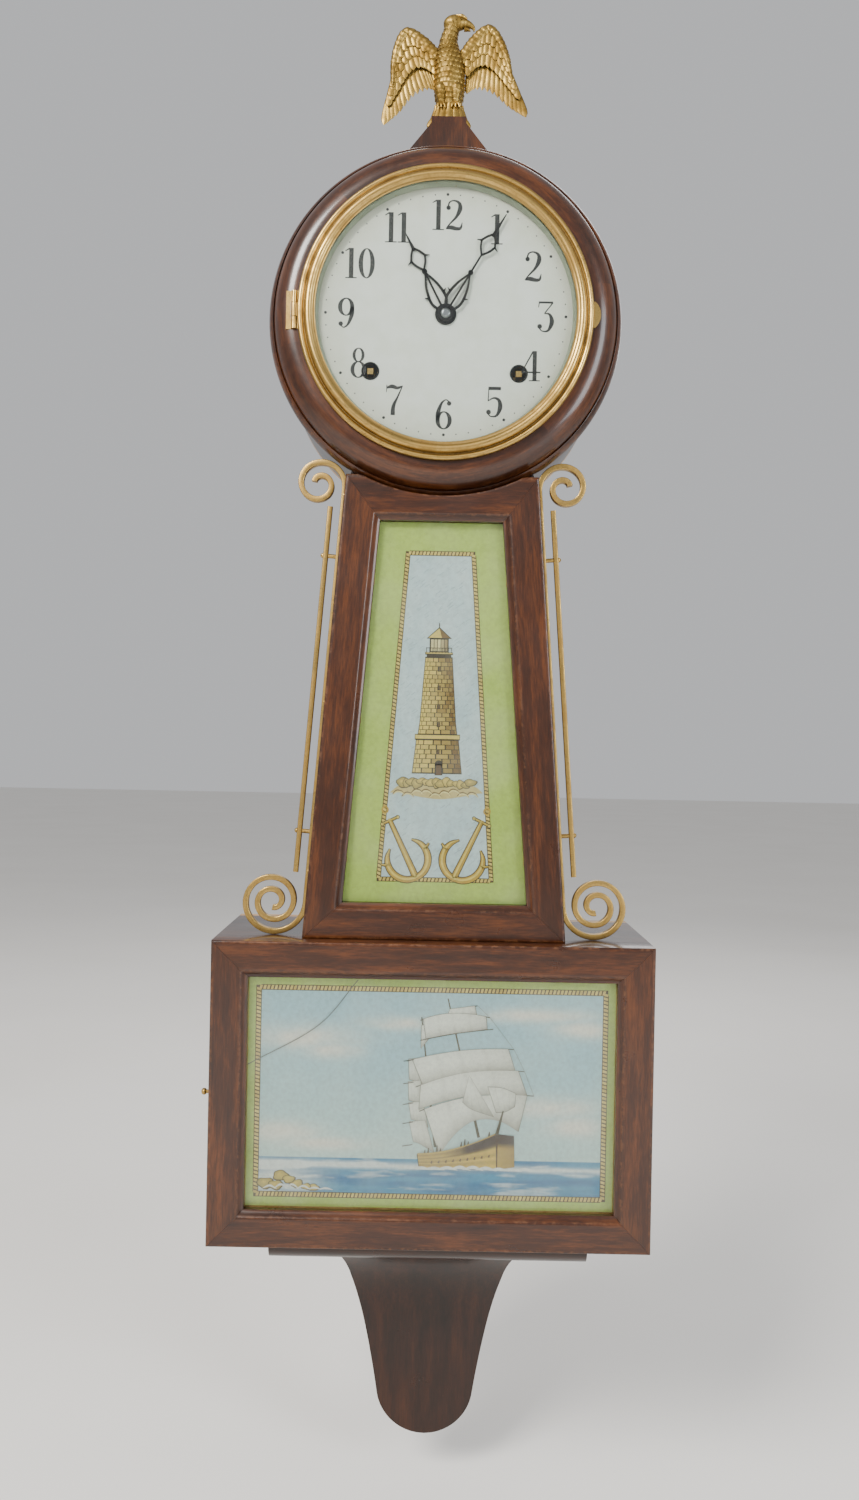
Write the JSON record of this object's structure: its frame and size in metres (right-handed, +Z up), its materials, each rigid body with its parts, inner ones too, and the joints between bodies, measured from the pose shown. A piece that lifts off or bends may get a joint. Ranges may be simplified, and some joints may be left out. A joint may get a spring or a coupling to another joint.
{
  "type": "banjo wall clock",
  "caption": "Wall clock with a round dial head, tapering painted-glass throat with side scrolls, hinged painted-glass box door, eagle finial and a pendulum movement.",
  "frame": {"origin": "centre of the hanger hole on the wall plane", "axes": "+X the viewer's right, +Y into the wall, +Z up"},
  "size_m": [0.2623, 0.111, 0.9039],
  "materials": {
    "mahogany": "gloss lacquer",
    "mahogany_dark": "gloss lacquer",
    "pine": "bare",
    "brass": "polished, worn",
    "antique_gilt": "cast and toned",
    "movement_brass": "satin",
    "steel": "satin",
    "blued_steel": "black",
    "iron": "painted",
    "lead_brass": "polished",
    "dial_paint": "satin cream",
    "flange_paint": "satin grey-green",
    "clear_glass": "polished",
    "painted_glass": "polished, painted behind"
  },
  "bodies": {
    "case": {"back_board": "pine", "wall_hanger": "steel", "head_drum": "mahogany_dark", "head_ring": "mahogany", "finial_plinth": "mahogany", "eagle_finial": "antique_gilt", "throat_frame": "mahogany", "throat_sides": "mahogany_dark", "throat_glass": "painted_glass", "throat_glass_blocks": "pine", "box_top": "mahogany", "box_bottom": "mahogany_dark", "box_sides": "mahogany_dark", "bracket_shelf": "mahogany", "bottom_bracket": "mahogany", "hinge_case_leaves": "brass", "door_catch_spring": "brass", "side_scrolls": "brass", "side_rails": "brass", "rail_spacers": "brass", "bezel_hinge_fixed": "brass", "dial": "dial_paint", "winding_grommets": "brass", "back_plate": "movement_brass", "front_plate": "movement_brass", "pillars": "steel", "movement_feet": "steel", "suspension_cock": "movement_brass", "mainsprings": "steel", "gong": "steel", "gong_base": "iron"},
    "box_door": {"door_frame": "mahogany", "door_glass": "painted_glass", "door_glass_stops": "pine", "hinge_door_leaves": "brass", "door_pins": "brass"},
    "dial_door": {"bezel": "brass", "bezel_tab": "brass", "dial_glass": "clear_glass", "glass_retainer": "flange_paint", "bezel_hinge_moving": "brass"},
    "minute_arbor": {"minute_hand": "blued_steel", "hand_nut": "brass", "cannon_pinion": "movement_brass"},
    "minute_wheel": {"minute_wheel": "movement_brass"},
    "hour_pipe": {"hour_hand": "blued_steel", "hour_wheel": "movement_brass"},
    "escape": {"escape_wheel": "movement_brass"},
    "third": {"third_wheel": "movement_brass"},
    "centre": {"centre_wheel": "movement_brass"},
    "second": {"second_wheel": "movement_brass"},
    "time_great": {"time_great_wheel": "movement_brass"},
    "fly": {"fly": "movement_brass"},
    "warning": {"warning_wheel": "movement_brass"},
    "pin": {"pin_wheel": "movement_brass"},
    "strike_great": {"strike_great_wheel": "movement_brass"},
    "hammer": {"hammer": "steel"},
    "verge": {"verge": "steel"},
    "pendulum": {"pendulum_rod": "steel", "pendulum_bob": "lead_brass"}
  },
  "joints": [
    {"name": "box_door_hinge", "type": "hinge", "parent": "case", "child": "box_door", "pos_m": [0.1276, -0.0909, -0.5255], "axis": [0, 0, 1], "range_deg": [0, 110]},
    {"name": "dial_door_hinge", "type": "hinge", "parent": "case", "child": "dial_door", "pos_m": [-0.0874, -0.1034, -0.075], "axis": [0, 0, -1], "range_deg": [0, 110]},
    {"name": "minute_turn", "type": "hinge", "parent": "case", "child": "minute_arbor", "pos_m": [0, -0.09, -0.075], "axis": [0, 1, 0], "continuous": true},
    {"name": "minute_wheel_turn", "type": "hinge", "parent": "case", "child": "minute_wheel", "pos_m": [0.0072, -0.08, -0.08747], "axis": [0, 1, 0], "continuous": true},
    {"name": "hour_turn", "type": "hinge", "parent": "case", "child": "hour_pipe", "pos_m": [0, -0.09, -0.075], "axis": [0, 1, 0], "continuous": true},
    {"name": "escape_turn", "type": "hinge", "parent": "case", "child": "escape", "pos_m": [0, -0.055, -0.0345], "axis": [0, 1, 0], "continuous": true},
    {"name": "third_turn", "type": "hinge", "parent": "case", "child": "third", "pos_m": [-0.00762, -0.055, -0.05407], "axis": [0, 1, 0], "continuous": true},
    {"name": "centre_turn", "type": "hinge", "parent": "case", "child": "centre", "pos_m": [0, -0.055, -0.075], "axis": [0, 1, 0], "continuous": true},
    {"name": "second_turn", "type": "hinge", "parent": "case", "child": "second", "pos_m": [0.02412, -0.055, -0.08329], "axis": [0, 1, 0], "continuous": true},
    {"name": "time_great_turn", "type": "hinge", "parent": "case", "child": "time_great", "pos_m": [0.043, -0.055, -0.1085], "axis": [0, 1, 0], "continuous": true},
    {"name": "fly_turn", "type": "hinge", "parent": "case", "child": "fly", "pos_m": [-0.04, -0.055, -0.04274], "axis": [0, 1, 0], "continuous": true},
    {"name": "warning_turn", "type": "hinge", "parent": "case", "child": "warning", "pos_m": [-0.033, -0.055, -0.05713], "axis": [0, 1, 0], "continuous": true},
    {"name": "pin_turn", "type": "hinge", "parent": "case", "child": "pin", "pos_m": [-0.035, -0.055, -0.07803], "axis": [0, 1, 0], "continuous": true},
    {"name": "strike_great_turn", "type": "hinge", "parent": "case", "child": "strike_great", "pos_m": [-0.043, -0.055, -0.1085], "axis": [0, 1, 0], "continuous": true},
    {"name": "hammer_swing", "type": "hinge", "parent": "case", "child": "hammer", "pos_m": [0, -0.055, -0.115], "axis": [0, 1, 0], "range_deg": [0, 15], "stiffness_Nm_per_rad": 0.01, "springref_deg": -28.65},
    {"name": "pendulum_swing", "type": "hinge", "parent": "case", "child": "pendulum", "pos_m": [0, -0.025, -0.015], "axis": [0, 1, 0], "range_deg": [-2.5, 2.5]},
    {"name": "verge_rock", "type": "hinge", "parent": "case", "child": "verge", "pos_m": [0, -0.055, -0.015], "axis": [0, 1, 0], "range_deg": [-2.5, 2.5]}
  ],
  "couplings": [
    {"joint": "minute_wheel_turn", "follows": "minute_turn", "ratio": -0.33333},
    {"joint": "hour_turn", "follows": "minute_turn", "ratio": 0.083333},
    {"joint": "third_turn", "follows": "escape_turn", "ratio": -0.090909},
    {"joint": "centre_turn", "follows": "escape_turn", "ratio": 0.011364},
    {"joint": "second_turn", "follows": "escape_turn", "ratio": -0.0047348},
    {"joint": "time_great_turn", "follows": "escape_turn", "ratio": 0.00078914},
    {"joint": "warning_turn", "follows": "fly_turn", "ratio": -0.14286},
    {"joint": "pin_turn", "follows": "fly_turn", "ratio": 0.02381},
    {"joint": "strike_great_turn", "follows": "fly_turn", "ratio": -0.0039683},
    {"joint": "verge_rock", "follows": "pendulum_swing", "ratio": 1}
  ]
}
